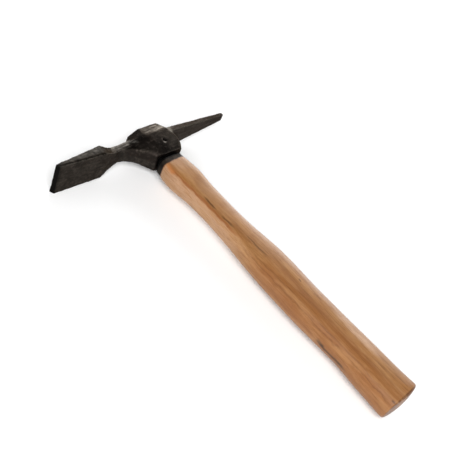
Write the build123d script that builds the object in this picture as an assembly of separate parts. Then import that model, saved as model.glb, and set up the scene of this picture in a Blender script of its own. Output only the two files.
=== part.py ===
from build123d import *
import math
import os

# Welder's chipping hammer: a forged steel head on an oval hardwood handle.
# Millimetres. X runs along the head (blade at -X, pick at +X), Y runs up the handle
# towards the head, and Z is square to both. The hammer is laid out about the axis of its
# eye, at X = Z = 0, and moved at the end so that it lies over the origin on the floor.

# ---- blade: the wide cutting edge
BLADE_TIP_X = -99.4
BLADE_SHOULDER_X = -54.5
BLADE_TIP_HALF_WIDTH = 14.8
BLADE_SHOULDER_HALF_WIDTH = 13.3
BLADE_TIP_TOP_Y = 0.9
BLADE_TIP_UNDER_Y = -2.4
BLADE_SHOULDER_TOP_Y = 5.9
BLADE_SHOULDER_UNDER_Y = -4.4
BLADE_END_LEAN = 1.9          # how far the ground end face leans back
SHOULDER_LEAD = (2.9, 1.7)    # straight stretch (X, Z) leading into the neck's hollow side

# ---- neck and the web below it
NECK_START_X = -46.0
NECK_NARROW_X = -36.0
NECK_END_X = -22.0
NECK_HALF_WIDTH = 7.1
NECK_START_TOP_Y = 4.3
NECK_END_TOP_Y = 5.8
NECK_UNDER_Y = -1.0
WEB_TOP = (-31.4, -1.9)       # the web's hollow arc starts here,
WEB_MIDDLE = (-20.6, -9.4)    # passes here,
WEB_CORNER_X = -12.2          # and ends at the corner of the rim
WEB_HALF_WIDTH = 8.9

# ---- pick: the narrow tapered end
PICK_ROOT_X = 16.0
PICK_TIP_X = 88.0
PICK_ROOT_HALF_WIDTH = 10.6
PICK_TIP_HALF_WIDTH = 3.3
PICK_ROOT_TOP_Y = 3.3
PICK_TIP_TOP_Y = 4.2
PICK_ROOT_UNDER_Y = -1.7
PICK_TIP_UNDER_Y = 1.0
PICK_END_LEAN = 1.2

# ---- boss around the eye
RIM_Y = -20.4                 # bottom rim, towards the handle
CROWN_Y = 12.3                # flat top
BOSS_CORNER_RADIUS = 1.8
# Each level: Y, end at -X, end at +X, half width in Z, then the corner cuts (X, Z) at the
# blade end and at the pick end.
BOSS_LEVELS = [
    (RIM_Y, -12.2, 13.8, 9.2, (2.6, 1.4), (2.0, 2.0)),
    (-13.0, -16.6, 17.8, 11.5, (7.6, 3.6), (3.2, 2.8)),
    (-5.0, -23.4, 19.2, 12.2, (14.0, 5.2), (4.4, 3.6)),
    (1.0, -25.9, 19.1, 12.2, (16.0, 5.4), (5.2, 4.0)),
]
CROWN_LEVELS = [
    (3.5, -26.2, 19.0, 11.5, (16.2, 4.8), (5.6, 3.8)),
    (CROWN_Y, -17.8, 17.4, 9.1, (9.4, 5.6), (6.2, 4.6)),
]

# ---- eye, an hourglass hole for the handle: Y, half length, half width, corner radius
EYE_LEVELS = [
    (RIM_Y, 9.8, 6.0, 2.6),
    (-6.0, 9.2, 5.6, 2.4),
    (CROWN_Y, 10.4, 6.6, 2.8),
]
EYE_OVERRUN = 4.0             # the cutter runs this far past both ends of the eye

# ---- handle
HANDLE_SHOULDER_Y = -23.1     # step between the tenon and the swell of the handle
BUTT_Y = -286.8               # edge of the crowned butt
BUTT_CROWN = 3.0              # how far the butt's middle stands beyond its edge
BUTT_ROUND = 1.8
SHOULDER_ROUND = 0.7
TENON_ROOT = 2.0              # how far the tenon's root is sunk in the handle
OVAL_POINTS = 32
# Each level: Y, middle in X, half length in X, half width in Z, squareness of the oval
# (2 is an ellipse). The grip wanders a little, as a turned and sanded handle does.
HANDLE_LEVELS = [
    (HANDLE_SHOULDER_Y, -0.8, 11.8, 8.2, 4.2),
    (-28.0, -1.1, 12.2, 8.7, 4.0),
    (-40.0, -0.9, 13.6, 9.9, 3.8),
    (-58.0, 0.0, 12.8, 9.3, 3.5),
    (-84.0, 0.2, 12.1, 8.9, 3.2),
    (-106.0, -0.1, 12.7, 9.5, 3.0),
    (-130.0, 0.3, 14.8, 10.8, 2.9),
    (-150.0, 0.3, 15.8, 11.4, 2.9),
    (-180.0, -0.2, 16.2, 11.5, 2.9),
    (-215.0, 0.4, 15.8, 11.4, 2.9),
    (-240.0, 1.2, 16.0, 11.7, 2.9),
    (-264.0, 0.8, 17.1, 12.1, 2.9),
    (BUTT_Y, 0.8, 17.9, 12.4, 2.9),
]

# ---- wedges and pin
WEDGE_DEPTH = 17.0
WEDGE_HALF_LENGTH = 8.8
WEDGE_TOP_THICKNESS = 3.6
WEDGE_END_THICKNESS = 0.9
STEEL_WEDGE_DEPTH = 13.0
STEEL_WEDGE_HALF_LENGTH = 4.6
STEEL_WEDGE_TOP_THICKNESS = 2.4
STEEL_WEDGE_END_THICKNESS = 0.6
STEEL_WEDGE_X = 4.4
PIN_X = 3.0
PIN_Y = -9.1
PIN_RADIUS = 1.2
PIN_RECESS = 1.5              # the pin's ends sit this far below the cheeks
SINK_RADIUS = 2.5             # of the countersink over each end of the pin
CHEEK_HALF_WIDTH = 11.9       # half width of the boss where the pin crosses it

CUT_REACH = 40.0              # cutters and profiles reach this far past the head
LEVEL_BAND = 0.3              # edges this close to a level belong to it


def closed(*edges):
    """A face inside a closed run of edges."""
    return make_face(Curve() + list(edges))


def side_profile():
    """Blade, neck, web and pick, seen along Z."""
    tip_top = (BLADE_TIP_X, BLADE_TIP_TOP_Y)
    tip_under = (BLADE_TIP_X + BLADE_END_LEAN, BLADE_TIP_UNDER_Y)
    neck_under = (NECK_NARROW_X, NECK_UNDER_Y)
    rim_corner = (WEB_CORNER_X, RIM_Y)
    upper = Polyline(
        rim_corner,
        (0, RIM_Y),
        (0, PICK_ROOT_UNDER_Y),
        (PICK_ROOT_X, PICK_ROOT_UNDER_Y),
        (PICK_TIP_X - PICK_END_LEAN, PICK_TIP_UNDER_Y),
        (PICK_TIP_X, (PICK_TIP_UNDER_Y + PICK_TIP_TOP_Y) / 2),
        (PICK_TIP_X - PICK_END_LEAN, PICK_TIP_TOP_Y),
        (PICK_ROOT_X, PICK_ROOT_TOP_Y),
        (NECK_END_X, NECK_END_TOP_Y),
        (NECK_START_X, NECK_START_TOP_Y),
        (BLADE_SHOULDER_X, BLADE_SHOULDER_TOP_Y),
        tip_top,
        tip_under,
        (BLADE_SHOULDER_X, BLADE_SHOULDER_UNDER_Y),
        neck_under,
        WEB_TOP,
    )
    web = ThreePointArc(WEB_TOP, WEB_MIDDLE, rim_corner)
    return closed(upper, web)


def plan_profile():
    """Blade, neck, web and pick, seen along Y, drawn with Z as the sketch's upward axis."""
    lead_x, lead_z = SHOULDER_LEAD
    hollow_start = (BLADE_SHOULDER_X + lead_x, BLADE_SHOULDER_HALF_WIDTH - lead_z)
    hollow_end = (NECK_NARROW_X, NECK_HALF_WIDTH)
    blade_edge = Polyline(
        (BLADE_TIP_X, 0),
        (BLADE_TIP_X, BLADE_TIP_HALF_WIDTH),
        (BLADE_SHOULDER_X, BLADE_SHOULDER_HALF_WIDTH),
        hollow_start,
    )
    hollow = TangentArc(hollow_start, hollow_end, tangent=(lead_x, -lead_z))
    pick_edge = Polyline(
        hollow_end,
        (NECK_END_X, NECK_HALF_WIDTH),
        (WEB_CORNER_X, WEB_HALF_WIDTH),
        (PICK_ROOT_X, PICK_ROOT_HALF_WIDTH),
        (PICK_TIP_X - PICK_END_LEAN, PICK_TIP_HALF_WIDTH),
        (PICK_TIP_X, PICK_TIP_HALF_WIDTH - PICK_END_LEAN / 2),
        (PICK_TIP_X, 0),
        (BLADE_TIP_X, 0),
    )
    half = closed(blade_edge, hollow, pick_edge)
    return half + mirror(half, Plane.XZ)


def arms():
    """Blade, neck, web and pick: what the side and plan profiles have in common."""
    side = extrude(side_profile(), CUT_REACH, both=True)
    plan = extrude(Rot(X=90) * plan_profile(), CUT_REACH, both=True)
    return side & plan


def boss_section(level, x_low, x_high, half_z, blade_cut, pick_cut):
    """Level section of the boss: a rectangle with cut and rounded corners."""
    corners = [
        (x_low, half_z - blade_cut[1]),
        (x_low + blade_cut[0], half_z),
        (x_high - pick_cut[0], half_z),
        (x_high, half_z - pick_cut[1]),
    ]
    lower = [(x, -z) for x, z in reversed(corners)]
    outline = Polyline(*corners, *lower, close=True)
    section = make_face(outline)
    section = fillet(section.vertices(), BOSS_CORNER_RADIUS)
    return Pos(0, level, 0) * Rot(X=90) * section


def eye_section(level, half_x, half_z, radius):
    """Level section of the eye."""
    section = RectangleRounded(2 * half_x, 2 * half_z, radius)
    return Pos(0, level, 0) * Rot(X=90) * section


def eye_solid():
    """The space inside the eye, run past both ends of the boss."""
    low = (EYE_LEVELS[0][0] - EYE_OVERRUN, *EYE_LEVELS[0][1:])
    high = (EYE_LEVELS[-1][0] + EYE_OVERRUN, *EYE_LEVELS[-1][1:])
    levels = [low, *EYE_LEVELS, high]
    return loft([eye_section(*level) for level in levels], ruled=True)


def pin_solid(half_length):
    """A round bar along Z through both cheeks."""
    bar = Cylinder(PIN_RADIUS, 2 * half_length)
    return Pos(PIN_X, PIN_Y, 0) * bar


def pin_sinks():
    """Cones over both ends of the pin, cut into the cheeks."""
    slope = (SINK_RADIUS - PIN_RADIUS) / PIN_RECESS
    outer_radius = PIN_RADIUS + 2 * PIN_RECESS * slope
    cone = Cone(PIN_RADIUS, outer_radius, 2 * PIN_RECESS)
    near = Pos(PIN_X, PIN_Y, CHEEK_HALF_WIDTH) * cone
    return near + mirror(near, Plane.XY)


def head():
    """The forged head with its eye and its pin hole."""
    lower = loft([boss_section(*level) for level in BOSS_LEVELS])
    upper_levels = [BOSS_LEVELS[-1], *CROWN_LEVELS]
    crown = loft([boss_section(*level) for level in upper_levels], ruled=True)
    body = arms() + lower + crown
    return body - eye_solid() - pin_solid(CUT_REACH) - pin_sinks()


def oval_section(level, middle_x, half_x, half_z, squareness):
    """Level section of the handle: a superellipse through points at even angles."""
    points = []
    for index in range(OVAL_POINTS):
        angle = 2 * math.pi * index / OVAL_POINTS
        across = math.cos(angle)
        up = math.sin(angle)
        flatness = abs(across / half_x) ** squareness + abs(up / half_z) ** squareness
        reach = flatness ** (-1 / squareness)
        points.append((middle_x + reach * across, level, reach * up))
    return make_face(Spline(*points, periodic=True))


def taper_wedge(half_length, depth, top_thickness, end_thickness):
    """A flat tapered wedge, flush with the crown, that spreads along X and lies along Z."""
    taper = Polyline(
        (-end_thickness / 2, CROWN_Y - depth),
        (end_thickness / 2, CROWN_Y - depth),
        (top_thickness / 2, CROWN_Y),
        (-top_thickness / 2, CROWN_Y),
        close=True,
    )
    return extrude(make_face(taper), half_length, both=True)


def wooden_wedge_blank():
    """The wooden wedge before the steel one is driven across it."""
    blank = taper_wedge(WEDGE_HALF_LENGTH, WEDGE_DEPTH, WEDGE_TOP_THICKNESS, WEDGE_END_THICKNESS)
    return Rot(Y=90) * blank


def steel_wedge():
    """The small steel wedge that crosses the wooden one."""
    blank = taper_wedge(
        STEEL_WEDGE_HALF_LENGTH,
        STEEL_WEDGE_DEPTH,
        STEEL_WEDGE_TOP_THICKNESS,
        STEEL_WEDGE_END_THICKNESS,
    )
    return Pos(STEEL_WEDGE_X, 0, 0) * blank


def butt_trim():
    """What is cut off the handle's end to leave a crowned butt."""
    middle_x, half_x = HANDLE_LEVELS[-1][1:3]
    end_y = BUTT_Y - BUTT_CROWN
    radius = (half_x ** 2 + BUTT_CROWN ** 2) / (2 * BUTT_CROWN)
    sweep = math.degrees(math.asin(CUT_REACH / radius))
    crown = CenterArc((0, end_y + radius), radius, -90, sweep)
    sides = Polyline(crown @ 1, (CUT_REACH, end_y - BUTT_CROWN), (0, end_y - BUTT_CROWN), crown @ 0)
    return Pos(middle_x, 0, 0) * revolve(closed(crown, sides), Axis.Y)


def edges_at(body, level):
    """The edges whose middle is at one level of Y."""
    return body.edges().filter_by_position(Axis.Y, level - LEVEL_BAND, level + LEVEL_BAND)


def grip():
    """The handle below the head: swell, waist, grip and crowned butt."""
    end_section = (BUTT_Y - BUTT_CROWN, *HANDLE_LEVELS[-1][1:])
    body = loft([oval_section(*level) for level in [*HANDLE_LEVELS, end_section]])
    body -= butt_trim()
    body = fillet(edges_at(body, BUTT_Y), BUTT_ROUND)
    return fillet(edges_at(body, HANDLE_SHOULDER_Y), SHOULDER_ROUND)


def handle():
    """The wooden handle: the grip, and the slotted tenon that fills the eye."""
    tenon_length = CROWN_Y - HANDLE_SHOULDER_Y + TENON_ROOT
    slab = Pos(0, CROWN_Y - tenon_length / 2, 0) * Box(CUT_REACH, tenon_length, CUT_REACH)
    body = grip() + (eye_solid() & slab)
    return body - wooden_wedge_blank() - steel_wedge() - pin_solid(CUT_REACH)


def assembly():
    """Every piece of the hammer by name, laid out about the eye."""
    return {
        "head": head(),
        "handle": handle(),
        "wooden_wedge": wooden_wedge_blank() - steel_wedge(),
        "steel_wedge": steel_wedge(),
        "retaining_pin": pin_solid(CHEEK_HALF_WIDTH - PIN_RECESS),
    }


def main():
    os.makedirs("parts", exist_ok=True)
    middle_x = (BLADE_TIP_X + PICK_TIP_X) / 2
    middle_y = (CROWN_Y + BUTT_Y - BUTT_CROWN) / 2
    floor_z = -BLADE_TIP_HALF_WIDTH
    to_floor = Pos(-middle_x, -middle_y, -floor_z)
    for name, piece in assembly().items():
        export_step(to_floor * piece, f"parts/{name}.step")


main()
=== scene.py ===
import math

import bpy
import numpy as np
from mathutils import Matrix, Quaternion, Vector, noise


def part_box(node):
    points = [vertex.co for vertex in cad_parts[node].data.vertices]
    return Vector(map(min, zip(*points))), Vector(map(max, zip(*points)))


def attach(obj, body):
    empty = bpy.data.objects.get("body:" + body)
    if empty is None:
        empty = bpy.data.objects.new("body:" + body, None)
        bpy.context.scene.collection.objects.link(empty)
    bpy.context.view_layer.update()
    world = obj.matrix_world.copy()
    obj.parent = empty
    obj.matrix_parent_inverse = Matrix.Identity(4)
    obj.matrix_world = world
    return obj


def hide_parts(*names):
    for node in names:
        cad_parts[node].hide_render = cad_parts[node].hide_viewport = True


# A chipping hammer: black forged head on a varnished ash handle. Metres in the row frame; the
# surface detail is laid out in millimetres about the middle of the eye, as in the part.
MM = 0.001

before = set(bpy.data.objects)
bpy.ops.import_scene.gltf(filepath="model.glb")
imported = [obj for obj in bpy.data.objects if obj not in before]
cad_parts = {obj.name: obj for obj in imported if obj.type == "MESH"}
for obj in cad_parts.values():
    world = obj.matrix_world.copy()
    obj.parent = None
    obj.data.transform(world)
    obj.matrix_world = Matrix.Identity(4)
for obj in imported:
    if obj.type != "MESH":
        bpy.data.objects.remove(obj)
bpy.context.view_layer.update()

# ---- where things are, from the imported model
CROWN_ABOVE_EYE = 12.3 * MM    # from the middle of the eye to the crown
wedge_low, wedge_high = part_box("wooden_wedge")
head_low, head_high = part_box("head")
EYE = Vector((
    (wedge_low.x + wedge_high.x) / 2,
    head_high.y - CROWN_ABOVE_EYE,
    (wedge_low.z + wedge_high.z) / 2,
))

# ---- camera
VIEW_AZIMUTH = math.radians(-154.64)
VIEW_ELEVATION = math.radians(43.83)
VIEW_ROLL = math.radians(28.19)
VIEW_DISTANCE = 0.5941
VIEW_AIM = EYE + Vector((-2.92, -112.28, 0.0)) * MM
SENSOR_WIDTH = 36.0
LENS = 57.0

# ---- meshes
HEAD_VOXEL = 0.38 * MM
HANDLE_VOXEL = 0.6 * MM
SKIN_GAIN = 0.1 * MM           # gives back what the even mesh loses at the edges
SHARP_EDGE = 0.06 * MM         # how far an edge's point stands out from its neighbours

# ---- the forging, in millimetres about the middle of the eye
HEAD_SOFTEN_ROUNDS = 4
FILL_ROUNDS = 90
WEB_ROUNDS = 170               # the web below the neck is the softest part
SKIM_ROUNDS = 3
LUMP_DEPTH = 0.22
CHEEK_CALM = 0.17              # the cheeks are pressed flat, so they keep little of the lumps
PIN_SPOT = (3.3, -8.5)
LIP_SPOT = (1.3, -11.0)        # the countersink's rim that catches the light
SHADE_LINE_SPOT = (-24.4, -3.4)      # on the painted shade line where the web leaves the neck
RUN_OUT_SPOT = (-24.0, 4.2)    # on the painted highlight streak that leaves the neck
BLADE_EDGE = (-99.4, -2.4)     # the blade's far end, at its lower border
BLADE_FALL = 2.0 / 44.9        # how fast that border falls towards the neck
FOLD_HEIGHT = 2.6              # of the painted shade along the fold, above that border

# ---- where the head's areas are, in millimetres about the middle of the eye. In each pair the
# ---- area has not begun at the first number and is full at the second. A span has two pairs.
CHEEK_START = (-12, -2)
CHEEK_TOP = (4.5, 2.5)
CROWN_SPAN = ((-9, -5), (20, 17))
CROWN_START = (1.5, 4)
BLUFF_SPAN = ((-27, -25), (-6, -12))
CORNER_SPAN = ((12.5, 14.5), (20, 18))
CORNER_RISE = ((-6, -2), (6, 3))
PIN_REACH = (2.0, 1.2)
LIP_REACH = (1.7, 0.9)
RIM_LEVEL = (-18, -19.5)
WEB_SPAN = ((-33, -27), (-4, -9))
WEB_TOP = (3.5, 0)
SHADE_LINE_SPAN = ((-34, -30), (-12, -15))
NECK_SPAN = ((-46, -42), (-22, -28))
NECK_MIDDLE = (-40, -34)
RUN_OUT_SPAN = ((-29, -26), (-17, -21))
HOLLOW_SPAN = ((-57, -54), (-43, -47))
FOLD_SPAN = ((-98, -92), (-52, -56))
LIT_FLANK_START = (-50, -58)
LIT_FLANK_FOOT = (-3, 2)
BLADE_END = (-94.5, -98)
PICK_START = (15, 24)
PICK_OUTER = (60, 80)
PICK_TIP = (84, 86)

# ---- which way a surface faces: the share of its normal that points along an axis
FLAT = (0.75, 0.95)
SLOPING = (0.15, 0.3)

# ---- the handle, in millimetres
HANDLE_SOFTEN_ROUNDS = 6
RIDGE_ROUNDS = 40
HANDLE_SWELL = 0.15
RIPPLE_DEPTH = 0.35
RIDGE_SPAN = ((-284, -278), (-32, -40))
RIPPLES_START = (-26, -40)
PAINT_LEVEL = 29.3             # below the eye, where the dip of black paint ends
BUTT_RIM = -286.4


def linear(red, green, blue):
    """A colour given as 0 to 255 screen values, in linear light."""
    channels = []
    for value in (red, green, blue):
        share = value / 255
        if share <= 0.04045:
            channels.append(share / 12.92)
        else:
            channels.append(((share + 0.055) / 1.055) ** 2.4)
    return (*channels, 1.0)


# ------------------------------------------------------------------ node building


class Graph:
    """Short calls that build one material's nodes."""

    def __init__(self, name):
        self.material = bpy.data.materials.new(name)
        self.material.use_nodes = True
        self.tree = self.material.node_tree
        self.tree.nodes.clear()
        self.shader = self.add("ShaderNodeBsdfPrincipled")
        output = self.add("ShaderNodeOutputMaterial")
        self.tree.links.new(self.shader.outputs["BSDF"], output.inputs["Surface"])

    def add(self, kind, **settings):
        node = self.tree.nodes.new(kind)
        for key, value in settings.items():
            setattr(node, key, value)
        return node

    def feed(self, socket, value):
        if isinstance(value, bpy.types.NodeSocket):
            self.tree.links.new(value, socket)
        else:
            socket.default_value = value

    def place(self):
        """Millimetres about the middle of the eye."""
        coordinates = self.add("ShaderNodeTexCoord")
        mapping = self.add("ShaderNodeMapping")
        mapping.inputs["Location"].default_value = -EYE / MM
        mapping.inputs["Scale"].default_value = (1 / MM,) * 3
        self.feed(mapping.inputs["Vector"], coordinates.outputs["Object"])
        return mapping.outputs["Vector"]

    def stretch(self, vector, scale, turn=(0, 0, 0)):
        mapping = self.add("ShaderNodeMapping")
        mapping.inputs["Scale"].default_value = scale
        mapping.inputs["Rotation"].default_value = turn
        self.feed(mapping.inputs["Vector"], vector)
        return mapping.outputs["Vector"]

    def axes(self, vector):
        split = self.add("ShaderNodeSeparateXYZ")
        self.feed(split.inputs["Vector"], vector)
        return split.outputs["X"], split.outputs["Y"], split.outputs["Z"]

    def math(self, operation, *values):
        node = self.add("ShaderNodeMath", operation=operation)
        for socket, value in zip(node.inputs, values):
            self.feed(socket, value)
        return node.outputs["Value"]

    def times(self, first, second):
        return self.math("MULTIPLY", first, second)

    def plus(self, first, second):
        return self.math("ADD", first, second)

    def minus(self, first, second):
        return self.math("SUBTRACT", first, second)

    def noise(self, vector, scale, detail=3.0, roughness=0.5, distortion=0.0):
        node = self.add("ShaderNodeTexNoise")
        self.feed(node.inputs["Vector"], vector)
        node.inputs["Scale"].default_value = scale
        node.inputs["Detail"].default_value = detail
        node.inputs["Roughness"].default_value = roughness
        node.inputs["Distortion"].default_value = distortion
        return node.outputs["Fac"]

    def cells(self, vector, scale):
        node = self.add("ShaderNodeTexVoronoi", feature="SMOOTH_F1")
        self.feed(node.inputs["Vector"], vector)
        node.inputs["Scale"].default_value = scale
        node.inputs["Smoothness"].default_value = 1.0
        return node.outputs["Distance"]

    def ease(self, value, start, end, low=0.0, high=1.0):
        """low up to start, high past end, and smooth between."""
        node = self.add("ShaderNodeMapRange", interpolation_type="SMOOTHSTEP")
        self.feed(node.inputs["Value"], value)
        self.feed(node.inputs["From Min"], start)
        self.feed(node.inputs["From Max"], end)
        self.feed(node.inputs["To Min"], low)
        self.feed(node.inputs["To Max"], high)
        return node.outputs["Result"]

    def mix(self, share, first, second):
        node = self.add("ShaderNodeMix", data_type="RGBA")
        self.feed(node.inputs["Factor"], share)
        self.feed(node.inputs["A"], first)
        self.feed(node.inputs["B"], second)
        return node.outputs["Result"]

    def attribute(self, name):
        """A mark that the mesh carries, from 0 to 1."""
        node = self.add("ShaderNodeAttribute", attribute_name=name)
        return node.outputs["Fac"]

    def bump(self, height, depth, strength):
        """Bump of a height from 0 to 1 that stands for depth metres."""
        node = self.add("ShaderNodeBump")
        node.inputs["Strength"].default_value = strength
        node.inputs["Distance"].default_value = depth
        self.feed(node.inputs["Height"], height)
        self.feed(self.shader.inputs["Normal"], node.outputs["Normal"])

    def surface(self, **values):
        names = {
            "color": "Base Color", "metallic": "Metallic", "roughness": "Roughness",
            "specular": "Specular IOR Level", "coat": "Coat Weight",
            "coat_roughness": "Coat Roughness", "tint": "Specular Tint",
        }
        for key, value in values.items():
            self.feed(self.shader.inputs[names[key]], value)
        return self.material


# ------------------------------------------------------------------ mesh building


def remeshed(node, name, voxel):
    """A copy of a CAD node as an even mesh of small quads."""
    piece = bpy.data.objects.new(name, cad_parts[node].data.copy())
    bpy.context.scene.collection.objects.link(piece)
    remesh = piece.modifiers.new("even", "REMESH")
    remesh.mode = "VOXEL"
    remesh.voxel_size = voxel
    remesh.adaptivity = 0.0
    depsgraph = bpy.context.evaluated_depsgraph_get()
    mesh = bpy.data.meshes.new_from_object(piece.evaluated_get(depsgraph))
    piece.modifiers.clear()
    piece.data = mesh
    mesh.name = name
    return piece


class Skin:
    """A mesh's points as arrays, for smoothing and displacing."""

    def __init__(self, piece):
        self.mesh = piece.data
        count = len(self.mesh.vertices)
        self.points = np.zeros(count * 3)
        self.mesh.vertices.foreach_get("co", self.points)
        self.points = self.points.reshape(-1, 3)
        edges = np.zeros(len(self.mesh.edges) * 2, int)
        self.mesh.edges.foreach_get("vertices", edges)
        self.first, self.second = edges.reshape(-1, 2).T
        ends = np.concatenate([self.first, self.second])
        self.neighbours = np.bincount(ends, minlength=count).clip(1)[:, None]

    def store(self):
        self.mesh.vertices.foreach_set("co", self.points.ravel())
        self.mesh.update()

    def normals(self):
        self.store()
        values = np.zeros(self.points.size)
        self.mesh.vertices.foreach_get("normal", values)
        return values.reshape(-1, 3)

    def average(self, values):
        """Each point's neighbours' mean value."""
        total = np.zeros_like(values)
        np.add.at(total, self.first, values[self.second])
        np.add.at(total, self.second, values[self.first])
        return total / self.neighbours

    def hollowness(self):
        """Above 0 where the surface is hollow, below 0 where it is an edge."""
        pull = self.average(self.points) - self.points
        return (pull * self.normals()).sum(1)

    def relax(self, rounds, amount):
        """Draws each point that share of the way to its neighbours, again and again."""
        for _ in range(rounds):
            self.points += amount * (self.average(self.points) - self.points)

    def soften(self, rounds):
        """Smooths without shrinking: each round gives back what it takes from broad shapes."""
        for _ in range(rounds):
            self.relax(1, 0.5)
            self.relax(1, -0.52)

    def fill_hollows(self, rounds):
        """Rounds the inner corners off and leaves the outer edges as they are."""
        for _ in range(rounds):
            pull = self.average(self.points) - self.points
            hollow = (pull * self.normals()).sum(1) > 0
            self.points[hollow] += 0.5 * pull[hollow]

    def mark(self, name, values):
        layer = self.mesh.attributes.new(name, "FLOAT", "POINT")
        layer.data.foreach_set("value", np.asarray(values, np.float32))

    def keep_in(self, low, high):
        """Holds the points inside a box."""
        self.points = self.points.clip(np.array(low), np.array(high))

    def about_eye(self):
        """The points in millimetres about the middle of the eye."""
        return (self.points - np.array(EYE)) / MM


def smooth_shaded(piece):
    piece.data.polygons.foreach_set("use_smooth", [True] * len(piece.data.polygons))
    piece.data.update()


def step(value, start, end):
    """0 at start, 1 at end and smooth between. The end may be the lower of the two."""
    share = ((value - start) / (end - start)).clip(0, 1)
    return share * share * (3 - 2 * share)


def within(value, span):
    """1 inside a span and 0 outside it. Each end is a pair: where it is 0 and where it is 1."""
    return step(value, *span[0]) * step(value, *span[1])


def forging(spots, scale, octaves):
    """Uneven forged surface at each spot, about -0.5 to 0.5."""
    return np.array([noise.fractal(Vector(spot) * scale, 1.0, 2.0, octaves) for spot in spots])


# ------------------------------------------------------------------ colours


STEEL = {
    "scale": linear(43, 40, 37),
    "scale_pale": linear(57, 53, 49),
    "drawn": linear(78, 72, 66),
    "grain": linear(80, 73, 66),
    "speck": linear(36, 32, 29),
    "smooth": linear(38, 35, 33),
    # painted highlight on the blade's flat side
    "lit_flank": linear(86, 83, 79),
    "pick": linear(62, 57, 53),
    "furrow": linear(36, 33, 31),
    "pick_rub": linear(96, 93, 90),
    # painted shade on the web under the neck, on the pick's flat sides and under the rim
    "painted_shade": linear(38, 33, 30),
    # painted shade in the blade's folds, the hollow at the neck and along the web's edge
    "crease_shade": linear(26, 23, 20),
    # painted highlight on the neck
    "neck": linear(152, 147, 140),
    # painted highlight on the crown's slope
    "crown": linear(136, 129, 121),
    "blot_pale": linear(92, 84, 77),
    "blot_dark": linear(30, 27, 25),
    "worn_edge": linear(120, 114, 106),
    "ground_end": linear(20, 19, 18),
    # painted shadow inside the pin's countersink
    "pit_shadow": linear(8, 7, 7),
    "lip_highlight": linear(112, 107, 101),
    "glint": linear(132, 127, 119),
    "stain": linear(52, 46, 41),
    "mill": linear(120, 120, 122),
    "mill_pale": linear(160, 160, 162),
    "pin": linear(26, 24, 22),
    "pin_pale": linear(44, 42, 40),
}

WOOD = {
    "body": linear(143, 95, 49),
    "body_pale": linear(160, 114, 67),
    "ring": linear(112, 68, 38),
    "cloud": linear(158, 116, 73),
    "line": linear(116, 72, 38),
    "fleck": linear(182, 138, 92),
    "fibre": linear(104, 62, 34),
    # painted sheen on the flat near the head
    "facet_sheen": linear(176, 139, 108),
    "dusk": linear(132, 82, 44),
    # the butt's rim: darker end grain, with painted shade on its rounded edge
    "butt": linear(88, 54, 29),
    "bleed": linear(76, 38, 18),
    "paint": linear(36, 31, 27),
    "paint_pale": linear(56, 49, 42),
    # painted shadow in the gap under the head
    "paint_gap_shadow": linear(9, 8, 7),
    "raw": linear(150, 104, 66),
    "raw_pale": linear(190, 146, 102),
    "pore": linear(96, 62, 38),
}

# The wood's figure, in the order that it is laid on: the middle and half width of each strip in
# degrees around the handle (90 faces up, 180 faces the blade), its two ends in millimetres up the
# handle, the share of its length over which it fades, its strength and its colour.
FIGURE = (
    (139.0, 6.0, (-128.0, -24.0), 0.2, 0.75, linear(136, 76, 38)),      # painted shade along the ridge beside the flat
    (152.0, 2.5, (-290.0, -118.0), 0.1, 0.6, linear(104, 62, 34)),      # two lines to the butt
    (139.0, 2.2, (-290.0, -122.0), 0.1, 0.5, linear(108, 64, 36)),
    (127.0, 6.0, (-88.0, -70.0), 0.3, 0.85, linear(80, 50, 28)),        # three dark dashes
    (127.0, 6.0, (-110.0, -92.0), 0.3, 0.85, linear(80, 50, 28)),
    (113.0, 4.5, (-146.0, -116.0), 0.3, 0.85, linear(80, 50, 28)),
    (145.0, 9.0, (-43.0, -28.0), 0.3, 0.6, linear(182, 108, 50)),       # patches near the paint
    (70.0, 7.0, (-46.0, -29.0), 0.3, 0.45, linear(128, 96, 62)),
    (62.0, 14.0, (-262.0, -203.0), 0.3, 0.8, linear(190, 154, 124)),    # pale lens of painted sheen
    (74.0, 14.0, (-210.0, -60.0), 0.3, 0.5, linear(178, 134, 92)),      # pale far side
    (192.0, 7.0, (-249.0, -212.0), 0.3, 0.95, linear(40, 27, 18)),      # stain and its knot
    (186.0, 9.0, (-224.0, -214.0), 0.3, 0.95, linear(34, 23, 15)),
    (81.0, 4.5, (-175.5, -171.5), 0.3, 0.8, linear(70, 44, 28)),        # two small knots
    (142.0, 5.0, (-287.0, -283.0), 0.3, 0.8, linear(70, 44, 28)),
)


# ------------------------------------------------------------------ materials


def forged_steel():
    """Black scale over forged steel: dark, with little gloss at a grazing view."""
    graph = Graph("forged_steel")
    place = graph.place()
    patches = graph.noise(place, scale=0.16, detail=4.0, roughness=0.6)
    grain = graph.noise(place, scale=1.1, detail=5.0, roughness=0.65)
    along_head = graph.stretch(place, (0.08, 0.7, 0.7))
    drawn = graph.noise(along_head, scale=1.0, detail=4.0, roughness=0.6)
    color = graph.mix(graph.ease(patches, 0.35, 0.65), STEEL["scale"], STEEL["scale_pale"])
    color = scale_texture(graph, place, color, grain, drawn)
    color = head_areas(graph, place, color, drawn)
    color = head_wear_and_light(graph, place, color, grain)
    rough = graph.ease(patches, 0.3, 0.7, low=0.38, high=0.48)
    rough = graph.minus(rough, graph.times(graph.attribute("smooth"), 0.13))
    height = graph.plus(graph.times(grain, 0.7), graph.times(patches, 0.3))
    graph.bump(height, 0.35 * MM, strength=0.5)
    return graph.surface(
        color=color, metallic=0.85, roughness=rough, specular=0.0, tint=(0.46, 0.45, 0.44, 1.0)
    )


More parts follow.
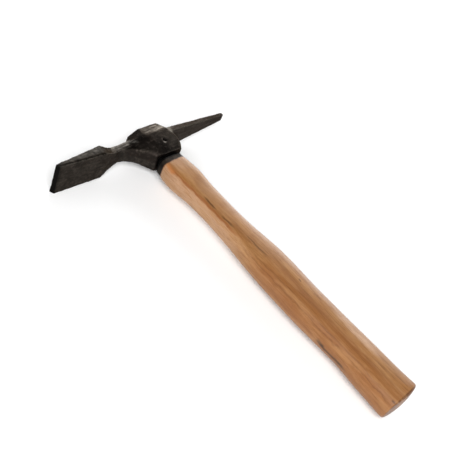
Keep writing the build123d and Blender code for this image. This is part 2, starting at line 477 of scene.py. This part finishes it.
def scale_texture(graph, place, color, grain, drawn):
    """What the black scale looks like wherever nothing has touched it."""
    speckle = graph.cells(place, 0.9)
    drawn_out = graph.ease(drawn, 0.5, 0.72, high=0.7)
    color = graph.mix(drawn_out, color, STEEL["drawn"])
    grainy = graph.ease(grain, 0.52, 0.7, high=0.6)
    color = graph.mix(grainy, color, STEEL["grain"])
    specks = graph.ease(speckle, 0.45, 0.15, high=0.35)
    return graph.mix(specks, color, STEEL["speck"])


def head_areas(graph, place, color, drawn):
    """The faces of the head that differ from each other, by the marks on its mesh, with painted
    highlights and painted shade among them.
    """
    color = graph.mix(graph.attribute("smooth"), color, STEEL["smooth"])
    # painted highlight on the blade's flat side, streaked along the head
    lit_flank = graph.ease(drawn, 0.3, 0.6, low=0.55)
    color = graph.mix(graph.times(graph.attribute("lit_flank"), lit_flank), color, STEEL["lit_flank"])
    pick = graph.attribute("pick")
    color = graph.mix(pick, color, STEEL["pick"])
    furrows = graph.times(pick, graph.ease(drawn, 0.56, 0.42, high=0.55))
    color = graph.mix(furrows, color, STEEL["furrow"])
    rubs = graph.times(pick, graph.ease(drawn, 0.53, 0.66, high=0.4))
    color = graph.mix(rubs, color, STEEL["pick_rub"])
    color = graph.mix(graph.attribute("painted_shade"), color, STEEL["painted_shade"])
    color = graph.mix(graph.attribute("crease_shade"), color, STEEL["crease_shade"])
    # painted highlight on the neck, broken up by the drawn streaks
    highlight_share = graph.ease(drawn, 0.4, 0.66, low=0.2)
    color = graph.mix(graph.times(graph.attribute("neck"), highlight_share), color, STEEL["neck"])
    # painted highlight on the crown's slope, in slanting strokes
    aslant = graph.stretch(place, (0.1, 0.8, 0.4), turn=(0.0, 0.0, -0.45))
    strokes = graph.noise(aslant, scale=1.0, detail=3.0, roughness=0.6)
    crown = graph.times(graph.attribute("crown"), graph.ease(strokes, 0.45, 0.59, low=0.05))
    return graph.mix(crown, color, STEEL["crown"])


def head_wear_and_light(graph, place, color, grain):
    """Blots all over, worn edges, the ground ends, painted shadow and highlight in the pin's
    countersink and a painted glint.
    """
    blots = graph.noise(place, scale=0.42, detail=4.0, roughness=0.6, distortion=0.4)
    color = graph.mix(graph.ease(blots, 0.52, 0.72, high=0.35), color, STEEL["blot_pale"])
    color = graph.mix(graph.ease(blots, 0.48, 0.3, high=0.45), color, STEEL["blot_dark"])
    edge = graph.ease(graph.attribute("edge"), 0.15, 0.9)
    worn = graph.times(edge, graph.ease(grain, 0.35, 0.6))
    color = graph.mix(graph.times(worn, 0.4), color, STEEL["worn_edge"])
    for mark in ("ground_end", "pit_shadow", "lip_highlight", "glint"):
        color = graph.mix(graph.attribute(mark), color, STEEL[mark])
    return color


def ash_handle():
    """Varnished ash with a dip of black paint below the head."""
    graph = Graph("handle_wood")
    place = graph.place()
    x, y, z = graph.axes(place)
    slow = graph.stretch(place, (0.03, 0.02, 0.03))
    drift = graph.minus(graph.noise(slow, scale=1.0, detail=2.0), 0.5)
    uneven = graph.stretch(place, (0.16, 0.07, 0.16))
    waver = graph.noise(uneven, scale=1.0, detail=3.0, roughness=0.6)
    around = graph.minus(90.0, graph.math("DEGREES", graph.math("ARCTAN2", x, z)))
    around = graph.plus(around, graph.times(drift, 14.0))
    around = graph.plus(around, graph.times(graph.minus(waver, 0.5), 22.0))
    fibres = graph.stretch(place, (3.5, 0.16, 3.5))
    fine = graph.noise(fibres, scale=1.0, detail=4.0, roughness=0.7)
    color = growth_rings(graph, place, (x, y, z), drift)
    color = handle_figure(graph, place, color, around, y)
    color = grain_lines(graph, place, color, fine, y)
    paint, color = dipped(graph, place, color, waver, (x, y))
    rough = graph.ease(fine, 0.3, 0.8, low=0.34, high=0.5)
    graph.bump(fine, 0.08 * MM, strength=0.5)
    rough = graph.plus(rough, graph.times(paint, 0.12))
    return graph.surface(
        color=color, roughness=rough, metallic=graph.times(paint, 0.85), specular=0.5,
        coat=0.03, coat_roughness=0.32, tint=(0.5, 0.5, 0.5, 1.0),
    )


def growth_rings(graph, place, axes, drift):
    """Rings about a pith that runs past the handle at a slant, with streaks along the grain."""
    x, y, z = axes
    across = graph.plus(x, graph.times(y, 0.05))
    across = graph.plus(across, graph.times(drift, 9.0))
    pith_depth = 38.0
    deep = graph.plus(graph.plus(z, graph.times(y, 0.03)), pith_depth)
    radius = graph.math("SQRT", graph.plus(graph.times(across, across), graph.times(deep, deep)))
    phase = graph.times(radius, 2.1)      # radians, so that a ring is 3 mm wide
    ring = graph.math("SINE", phase)
    along = graph.stretch(place, (0.4, 0.024, 0.4))
    streaks = graph.noise(along, scale=1.0, detail=6.0, roughness=0.65, distortion=0.8)
    clouds = graph.noise(place, scale=0.05, detail=3.0, roughness=0.5)
    color = graph.mix(graph.ease(streaks, 0.3, 0.7), WOOD["body"], WOOD["body_pale"])
    color = graph.mix(graph.ease(ring, -0.2, 1.0, high=0.28), color, WOOD["ring"])
    return graph.mix(graph.ease(clouds, 0.4, 0.65, high=0.5), color, WOOD["cloud"])


def handle_figure(graph, place, color, around, y):
    """Where the wood is paler, darker or marked, with painted sheen and painted shade among them.
    around is in degrees, as in FIGURE.
    """
    along = graph.stretch(place, (0.5, 0.05, 0.5))
    wisps = graph.noise(along, scale=1.0, detail=3.0, roughness=0.6)

    def strip(middle, half, reach, soft):
        """Share of a strip along the grain, between two levels."""
        off = graph.math("ABSOLUTE", graph.minus(around, middle))
        off = graph.plus(off, graph.times(wisps, half * 0.6))
        fade = soft * (reach[1] - reach[0])
        share = graph.ease(off, half * 1.5, half * 0.3)
        share = graph.times(share, graph.ease(y, reach[0], reach[0] + fade))
        return graph.times(share, graph.ease(y, reach[1], reach[1] - fade))

    # painted sheen: a paler flat near the head, on the side towards the blade
    facet_sheen = graph.times(graph.ease(around, 136.0, 150.0), graph.ease(y, -150.0, -95.0))
    facet_sheen = graph.times(facet_sheen, graph.ease(wisps, 0.62, 0.42, low=0.45))
    color = graph.mix(graph.times(facet_sheen, 0.85), color, WOOD["facet_sheen"])
    dusk = graph.times(graph.ease(around, 92.0, 112.0), graph.ease(y, -125.0, -160.0))
    color = graph.mix(graph.times(dusk, 0.6), color, WOOD["dusk"])
    for middle, half, reach, soft, strength, shade in FIGURE:
        share = graph.times(strip(middle, half, reach, soft), strength)
        color = graph.mix(share, color, shade)
    # the butt's rim is darker: end grain, with painted shade on its rounded edge
    butt = graph.ease(y, BUTT_RIM, BUTT_RIM - 0.8)
    return graph.mix(graph.times(butt, 0.85), color, WOOD["butt"])


def grain_lines(graph, place, color, fine, y):
    """Dark lines, pale flecks and fine fibres along the grain."""
    long = graph.stretch(place, (0.85, 0.028, 0.85))
    lines = graph.noise(long, scale=1.0, detail=4.0, roughness=0.62, distortion=1.4)
    lower = graph.ease(y, -70.0, -150.0, low=0.28, high=0.62)
    lines = graph.times(graph.ease(lines, 0.5, 0.64), lower)
    color = graph.mix(lines, color, WOOD["line"])
    short = graph.stretch(place, (0.24, 0.03, 0.24))
    flecks = graph.noise(short, scale=1.0, detail=3.0, roughness=0.55, distortion=0.5)
    color = graph.mix(graph.ease(flecks, 0.45, 0.72, high=0.36), color, WOOD["fleck"])
    return graph.mix(graph.ease(fine, 0.48, 0.72, high=0.45), color, WOOD["fibre"])


def dipped(graph, place, color, waver, axes):
    """Black paint from the shoulder to an uneven line, which stains the wood below it, with
    painted shadow in the gap under the head.
    """
    x, y = axes
    tone = graph.mix(graph.ease(waver, 0.42, 0.62), WOOD["paint"], WOOD["paint_pale"])
    # painted shadow on the paint in the gap under the head
    tone = graph.mix(graph.ease(y, -25.6, -24.2), tone, WOOD["paint_gap_shadow"])
    ragged = graph.times(graph.noise(place, scale=0.25, detail=3.0), 1.6)
    line = graph.plus(graph.times(x, 0.05), graph.minus(ragged, PAINT_LEVEL))
    below = graph.minus(line, y)
    paint = graph.times(graph.ease(below, 0.25, -0.25), graph.ease(y, 6.0, 0.0))
    color = graph.mix(graph.ease(below, 1.3, 0.1, high=0.8), color, WOOD["bleed"])
    return paint, graph.mix(paint, color, tone)


def plain_steel(name, low, high):
    """Dull steel with fine scratches along the piece and a few dark stains."""
    graph = Graph(name)
    place = graph.place()
    brushed = graph.stretch(place, (6.0, 1.0, 1.2))
    scratches = graph.noise(brushed, scale=1.0, detail=4.0, roughness=0.7)
    stain = graph.noise(place, scale=0.8, detail=3.0, roughness=0.6)
    color = graph.mix(graph.ease(scratches, 0.35, 0.65), low, high)
    color = graph.mix(graph.ease(stain, 0.5, 0.7, high=0.6), color, STEEL["stain"])
    rough = graph.ease(scratches, 0.3, 0.7, low=0.35, high=0.55)
    graph.bump(scratches, 0.05 * MM, strength=0.4)
    return graph.surface(color=color, roughness=rough, metallic=0.8)


def end_grain():
    """Raw sawn wood, for the wedge."""
    graph = Graph("wedge_wood")
    place = graph.place()
    sawn = graph.stretch(place, (0.6, 0.08, 4.0))
    fibres = graph.noise(sawn, scale=1.0, detail=5.0, roughness=0.65)
    pores = graph.cells(graph.stretch(place, (3.0, 0.3, 3.0)), 1.0)
    color = graph.mix(graph.ease(fibres, 0.35, 0.65), WOOD["raw"], WOOD["raw_pale"])
    color = graph.mix(graph.ease(pores, 0.35, 0.1, high=0.6), color, WOOD["pore"])
    graph.bump(fibres, 0.1 * MM, strength=0.5)
    return graph.surface(color=color, roughness=graph.ease(fibres, 0.3, 0.7, low=0.6, high=0.8))


# ------------------------------------------------------------------ pieces


class Survey:
    """Where each point of the head is, in millimetres about the eye, and which way it faces."""

    def __init__(self, skin):
        self.x, self.y, _ = skin.about_eye().T
        self.normals = skin.normals()
        self.to_pick = self.normals[:, 0]
        self.to_crown = self.normals[:, 1]
        self.to_side = np.abs(self.normals[:, 2])
        self.cheek = step(self.x, *CHEEK_START) * step(self.y, *CHEEK_TOP)

    def from_spot(self, spot):
        """How far each point is from a spot, seen from the side."""
        return np.hypot(self.x - spot[0], self.y - spot[1])

    def from_line(self, spot, slope):
        """How far each point is above or below a line through a spot."""
        return np.abs(self.y - spot[1] - slope * (self.x - spot[0]))


def web_share(skin):
    """1 on the web under the neck, mostly on the side that faces up."""
    x, y, z = skin.about_eye().T
    upper = 0.15 + 0.85 * step(z, -2, 2)
    return within(x, WEB_SPAN) * step(y, *WEB_TOP) * upper


def boss_marks(at):
    """Painted highlight on the crown's slope, the smooth cheek, its brow and the bluff above the
    neck, a painted glint at the pick's corner, and painted shadow and highlight in the pin's
    countersink.
    """
    crown = step(at.to_crown, *SLOPING) * step(at.y, *CROWN_START) * within(at.x, CROWN_SPAN)
    # how strong the crown's painted highlight is: strongest towards the pick and low on the slope
    highlight_share = 0.22 + 0.53 * step(at.x, -4, 8) + 0.25 * step(at.y, 7, 5)
    bluff = within(at.x, BLUFF_SPAN) * step(at.y, -6, -1)
    brow = 0.45 * at.cheek * step(at.y, -6, -2)
    smooth = np.maximum(np.maximum(at.cheek * step(at.x, 6, -2), brow), bluff)
    corner = within(at.x, CORNER_SPAN) * within(at.y, CORNER_RISE)
    in_cheek = step(at.to_side, 0.2, 0.4)
    return {
        "crown": crown * highlight_share,
        "smooth": smooth * (1 - crown),
        "glint": 0.35 * corner * step(at.to_side, 0.3, 0.5),
        # painted shadow inside the pin's countersink and painted highlight on its lower rim
        "pit_shadow": in_cheek * 0.85 * step(at.from_spot(PIN_SPOT), *PIN_REACH),
        "lip_highlight": in_cheek * step(at.from_spot(LIP_SPOT), *LIP_REACH),
    }


def blade_marks(at):
    """Painted highlight on the blade's flat side, its ground end, and painted shade in the folds
    along it and at the neck.
    """
    flat = step(at.to_side, *FLAT)
    border = BLADE_EDGE[1] - BLADE_FALL * (at.x - BLADE_EDGE[0])
    # painted shade: along the fold above the blade's lower border, in the hollow at the neck and
    # on a line where the web leaves the neck
    fold = within(at.x, FOLD_SPAN) * step(border + FOLD_HEIGHT - at.y, 0, 1.2)
    hollow = within(at.x, HOLLOW_SPAN) * 0.7
    shade_line = step(at.from_line(SHADE_LINE_SPOT, -0.85), 3.4, 1.2) * within(at.x, SHADE_LINE_SPAN)
    dark = np.maximum(np.maximum(fold, hollow), shade_line * 0.95)
    end_face = step(at.to_pick, -0.3, -0.6) * step(at.x, -88, -92)
    return {
        "lit_flank": flat * step(at.x, *LIT_FLANK_START) * step(at.y, *LIT_FLANK_FOOT),
        "crease_shade": dark * step(at.to_side, 0.2, 0.5) * 0.85,
        "blade_end": np.maximum(end_face, 0.7 * step(at.x, *BLADE_END)),
    }


def neck_mark(at):
    """Painted highlight on the neck and on the streak that runs out of it onto the web."""
    neck = step(at.to_side, *FLAT) * within(at.x, NECK_SPAN)
    neck *= 0.7 + 0.3 * step(at.x, *NECK_MIDDLE)
    neck *= 0.15 * step(at.y, -2, 0) + 0.85 * step(at.y, 0, 3)
    run_out = step(at.from_line(RUN_OUT_SPOT, -0.62), 2.4, 1.0) * within(at.x, RUN_OUT_SPAN)
    run_out *= step(at.to_side, 0.3, 0.6)
    return np.maximum(neck, 0.8 * run_out)


def pick_marks(at):
    """The pick's furrowed faces, painted shade on its flat sides and its dark tip."""
    faces = np.maximum(step(at.to_crown, -0.5, -0.8), step(at.to_side, 0.5, 0.8))
    tip = 0.7 * step(at.to_pick, 0.3, 0.6) * step(at.x, *PICK_TIP)
    return {
        "pick": step(at.x, *PICK_START) * faces * (0.8 + 0.2 * step(at.x, *PICK_OUTER)),
        "pick_side_shade": 0.5 * step(at.x, 20, 28) * step(at.to_side, 0.5, 0.8),
        "pick_end": np.maximum(tip, 0.3 * step(at.x, 58, 82)),
    }


def mark_head(skin, at, web):
    """Stores on the mesh where each of the steel's areas is."""
    boss = boss_marks(at)
    blade = blade_marks(at)
    pick = pick_marks(at)
    # painted shadow under the rim, and painted shade on the web and the pick's flat sides
    rim_shadow = step(at.to_crown, -0.6, -0.9) * step(at.y, *RIM_LEVEL)
    dark = np.maximum(np.maximum(0.85 * web, pick["pick_side_shade"]), rim_shadow)
    skin.mark("edge", (-skin.hollowness() / SHARP_EDGE).clip(0, 1) * (1 - web))
    for name in ("smooth", "crown", "glint", "pit_shadow", "lip_highlight"):
        skin.mark(name, boss[name])
    skin.mark("lit_flank", blade["lit_flank"])
    skin.mark("crease_shade", blade["crease_shade"])
    skin.mark("pick", pick["pick"])
    skin.mark("neck", neck_mark(at))
    skin.mark("painted_shade", dark)
    skin.mark("ground_end", np.maximum(blade["blade_end"], pick["pick_end"]))


def finished(skin, piece, material):
    skin.store()
    smooth_shaded(piece)
    piece.data.materials.clear()
    piece.data.materials.append(material)


def forged_head():
    piece = remeshed("head", "forged_head", HEAD_VOXEL)
    skin = Skin(piece)
    skin.soften(HEAD_SOFTEN_ROUNDS)
    skin.fill_hollows(FILL_ROUNDS)
    web = web_share(skin)
    skin.relax(WEB_ROUNDS, 0.5 * web[:, None])
    skin.soften(SKIM_ROUNDS)
    at = Survey(skin)
    depth = (LUMP_DEPTH - CHEEK_CALM * at.cheek)[:, None] * MM
    lumps = forging(skin.about_eye(), scale=0.22, octaves=3)[:, None]
    skin.points += at.normals * (depth * lumps + SKIN_GAIN)
    skin.keep_in(head_low, head_high)
    mark_head(skin, at, web)
    finished(skin, piece, forged_steel())
    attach(piece, "root")
    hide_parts("head")


def turned_handle():
    piece = remeshed("handle", "ash_handle", HANDLE_VOXEL)
    skin = Skin(piece)
    skin.soften(HANDLE_SOFTEN_ROUNDS)
    y = skin.about_eye()[:, 1]
    ridges = within(y, RIDGE_SPAN)
    skin.relax(RIDGE_ROUNDS, 0.5 * ridges[:, None])
    ripples = forging(skin.about_eye(), scale=0.03, octaves=2) * step(y, *RIPPLES_START)
    skin.points += skin.normals() * (HANDLE_SWELL + RIPPLE_DEPTH * ripples)[:, None] * MM
    skin.keep_in(*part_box("handle"))
    finished(skin, piece, ash_handle())
    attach(piece, "root")
    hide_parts("handle")


def dress(node, material):
    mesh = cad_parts[node].data
    mesh.materials.clear()
    mesh.materials.append(material)


# ------------------------------------------------------------------ camera, floor and light


def camera():
    level = math.cos(VIEW_ELEVATION)
    towards_camera = Vector((
        level * math.cos(VIEW_AZIMUTH),
        level * math.sin(VIEW_AZIMUTH),
        math.sin(VIEW_ELEVATION),
    ))
    data = bpy.data.cameras.new("camera")
    data.sensor_width = SENSOR_WIDTH
    data.lens = LENS
    data.clip_start = 0.01
    shown = bpy.data.objects.new("camera", data)
    bpy.context.scene.collection.objects.link(shown)
    upright = towards_camera.to_track_quat("Z", "Y")
    rolled = upright @ Quaternion((0, 0, 1), VIEW_ROLL)
    shown.matrix_world = Matrix.LocRotScale(
        VIEW_AIM + towards_camera * VIEW_DISTANCE, rolled, (1, 1, 1)
    )
    bpy.context.scene.camera = shown


def softbox(name, direction, distance, size, energy):
    """An area light that faces the hammer from one direction."""
    data = bpy.data.lights.new(name, "AREA")
    data.shape = "RECTANGLE"
    data.size, data.size_y = size
    data.energy = energy
    shown = bpy.data.objects.new(name, data)
    bpy.context.scene.collection.objects.link(shown)
    towards_light = Vector(direction).normalized()
    shown.matrix_world = Matrix.LocRotScale(
        towards_light * distance, towards_light.to_track_quat("Z", "Y"), (1, 1, 1)
    )


def studio():
    """A white room with a dark ceiling, lit from low behind and from the front."""
    world = bpy.data.worlds.new("studio")
    bpy.context.scene.world = world
    world.use_nodes = True
    nodes = world.node_tree.nodes
    links = world.node_tree.links
    direction = nodes.new("ShaderNodeTexCoord")
    split = nodes.new("ShaderNodeSeparateXYZ")
    links.new(direction.outputs["Generated"], split.inputs["Vector"])
    fall = nodes.new("ShaderNodeMapRange")
    fall.interpolation_type = "SMOOTHSTEP"
    walls_and_ceiling = {"From Min": 0.05, "From Max": 0.7, "To Min": 1.3, "To Max": 0.15}
    for name, value in walls_and_ceiling.items():
        fall.inputs[name].default_value = value
    links.new(split.outputs["Z"], fall.inputs["Value"])
    background = nodes["Background"]
    background.inputs["Color"].default_value = (1, 1, 1, 1)
    links.new(fall.outputs["Result"], background.inputs["Strength"])
    bpy.context.scene.view_settings.view_transform = "Standard"
    softbox("back_light", (0.8, 0.52, 0.28), distance=0.9, size=(1.2, 0.5), energy=7.5)
    softbox("front_light", (-0.52, -0.38, 0.76), distance=1.3, size=(1.0, 1.0), energy=19.0)


def floor():
    bpy.ops.mesh.primitive_plane_add(size=6.0, location=(0, 0, 0))
    shown = bpy.context.object
    shown.name = "floor"
    graph = Graph("floor")
    place = graph.place()
    tone = graph.noise(place, scale=0.01, detail=2.0)
    color = graph.mix(tone, (0.96, 0.96, 0.96, 1), (0.98, 0.98, 0.98, 1))
    shown.data.materials.append(graph.surface(color=color, roughness=0.9, specular=0.1))


camera()
studio()
floor()
forged_head()
turned_handle()
dress("wooden_wedge", end_grain())
dress("steel_wedge", plain_steel("wedge_steel", STEEL["mill"], STEEL["mill_pale"]))
dress("retaining_pin", plain_steel("pin_steel", STEEL["pin"], STEEL["pin_pale"]))
